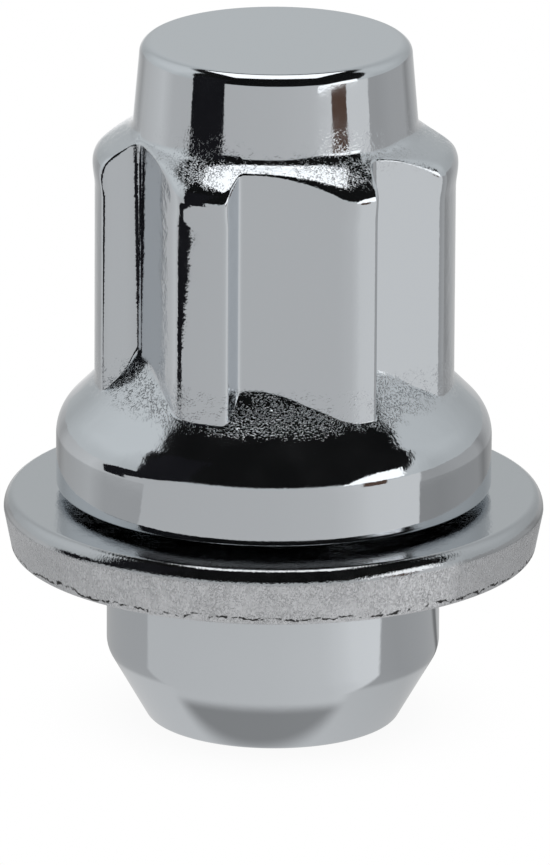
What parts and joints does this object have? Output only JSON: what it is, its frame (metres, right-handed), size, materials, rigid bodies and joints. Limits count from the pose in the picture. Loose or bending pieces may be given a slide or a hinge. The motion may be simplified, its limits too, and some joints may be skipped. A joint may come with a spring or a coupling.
{
  "type": "locking wheel nut",
  "caption": "Chromed long-shank locking wheel nut: round cap, one-sided key flutes, curved flange, blind threaded hole and a loose captive washer on its neck.",
  "frame": {"origin": "centre of the shank's end face, on the nut's axis, at the lowest point", "axes": "+Z along the nut's axis from the open end of the stud hole to the cap; -Y faces the picture's viewer, with the first flute's floor facing 68.5 degrees from it, and angles growing towards +X"},
  "size_m": [0.036, 0.036, 0.0467],
  "materials": {
    "chrome": "bright polished chrome plating",
    "washer_chrome": "chrome plating over a polished top and a satin rim"
  },
  "bodies": {
    "nut": {"nut_body": "chrome"},
    "washer": {"washer": "washer_chrome"}
  },
  "joints": [
    {"name": "washer_spin", "type": "hinge", "parent": "nut", "child": "washer", "pos_m": [0, 0, 0.0136], "axis": [0, 0, 1], "continuous": true}
  ]
}
